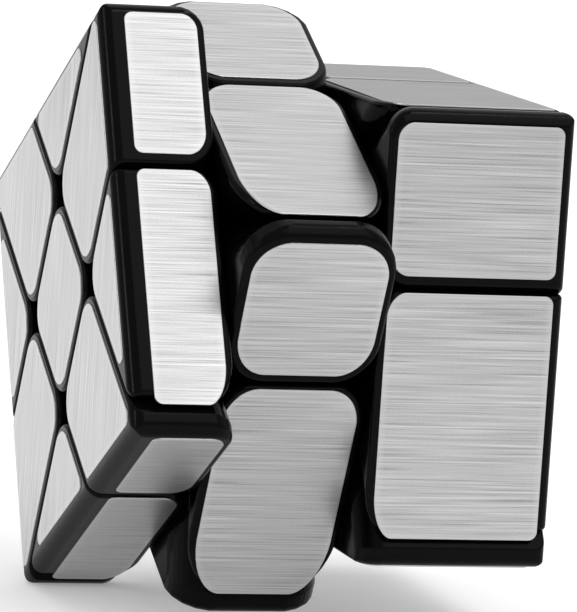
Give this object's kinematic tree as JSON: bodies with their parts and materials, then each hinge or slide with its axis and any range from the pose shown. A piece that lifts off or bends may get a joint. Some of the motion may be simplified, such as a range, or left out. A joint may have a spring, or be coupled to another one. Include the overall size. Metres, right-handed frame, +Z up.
{
  "type": "twisty puzzle cube",
  "caption": "Brushed-metal twisty puzzle cube whose layers of unequal thickness turn on one axis around a sprung core, part-twisted.",
  "frame": {"origin": "on the standing surface, under the centre of the whole part's box as it is left twisted", "axes": "+X along the turning axis from the thin layer to the thick layer, +Y to the back, +Z up"},
  "size_m": [0.057, 0.0764, 0.0764],
  "materials": {
    "black_plastic": "gloss",
    "sticker_foil": "brushed",
    "core_plastic": "satin",
    "screw_steel": "polished",
    "spring_steel": "polished",
    "washer_steel": "satin"
  },
  "bodies": {
    "core_and_middle_layer": {"core": "core_plastic", "middle_back_bottom_screw": "screw_steel", "middle_back_bottom_spring": "spring_steel", "middle_back_bottom_washer": "washer_steel", "middle_back_top_screw": "screw_steel", "middle_back_top_spring": "spring_steel", "middle_back_top_washer": "washer_steel", "middle_front_top_screw": "screw_steel", "middle_front_top_spring": "spring_steel", "middle_front_top_washer": "washer_steel", "middle_front_bottom_screw": "screw_steel", "middle_front_bottom_spring": "spring_steel", "middle_front_bottom_washer": "washer_steel", "left_screw": "screw_steel", "left_spring": "spring_steel", "left_washer": "washer_steel", "right_screw": "screw_steel", "right_spring": "spring_steel", "right_washer": "washer_steel", "middle_back_bottom_centre_base": "black_plastic", "middle_back_bottom_centre_cap": "black_plastic", "middle_back_top_centre_base": "black_plastic", "middle_back_top_centre_cap": "black_plastic", "middle_front_top_centre_base": "black_plastic", "middle_front_top_centre_cap": "black_plastic", "middle_front_bottom_centre_base": "black_plastic", "middle_front_bottom_centre_cap": "black_plastic", "middle_back_edge": "black_plastic", "middle_top_edge": "black_plastic", "middle_front_edge": "black_plastic", "middle_bottom_edge": "black_plastic"},
    "thin_layer": {"left_centre_base": "black_plastic", "left_centre_cap": "black_plastic", "left_back_bottom_edge": "black_plastic", "left_back_top_edge": "black_plastic", "left_front_top_edge": "black_plastic", "left_front_bottom_edge": "black_plastic", "left_back_corner": "black_plastic", "left_top_corner": "black_plastic", "left_front_corner": "black_plastic", "left_bottom_corner": "black_plastic"},
    "thick_layer": {"right_centre_base": "black_plastic", "right_centre_cap": "black_plastic", "right_back_bottom_edge": "black_plastic", "right_back_top_edge": "black_plastic", "right_front_top_edge": "black_plastic", "right_front_bottom_edge": "black_plastic", "right_back_corner": "black_plastic", "right_top_corner": "black_plastic", "right_front_corner": "black_plastic", "right_bottom_corner": "black_plastic"}
  },
  "joints": [
    {"name": "thin_layer_turn", "type": "hinge", "parent": "core_and_middle_layer", "child": "thin_layer", "pos_m": [-0.0186, 0, 0.0382], "axis": [1, 0, 0], "continuous": true},
    {"name": "thick_layer_turn", "type": "hinge", "parent": "core_and_middle_layer", "child": "thick_layer", "pos_m": [0.0162, 0, 0.0382], "axis": [1, 0, 0], "continuous": true}
  ]
}
